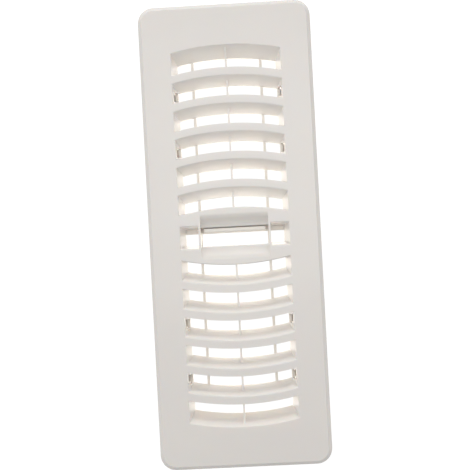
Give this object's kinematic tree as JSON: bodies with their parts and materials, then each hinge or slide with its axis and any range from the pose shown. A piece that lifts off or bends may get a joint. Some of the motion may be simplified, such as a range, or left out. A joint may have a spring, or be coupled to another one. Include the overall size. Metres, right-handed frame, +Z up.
{
  "type": "floor register",
  "caption": "Rectangular floor register with curved louvres, a deep duct collar and a sliding damper worked by a finger bar.",
  "frame": {"origin": "under the middle of the collar, at the level of its lower edge", "axes": "+X across the register, +Y along it towards the damper's open stop, +Z up out of the louvred face"},
  "size_m": [0.1084, 0.2922, 0.0435],
  "materials": {
    "plate": "satin moulded plastic, warm off-white",
    "damper": "satin moulded plastic, warm off-white"
  },
  "bodies": {
    "face_plate": {"face_plate": "plate"},
    "damper": {"damper_slide": "damper"}
  },
  "joints": [
    {"name": "damper_travel", "type": "slide", "parent": "face_plate", "child": "damper", "axis": [0, -1, 0], "range_m": [-0.0006, 0.008]}
  ]
}
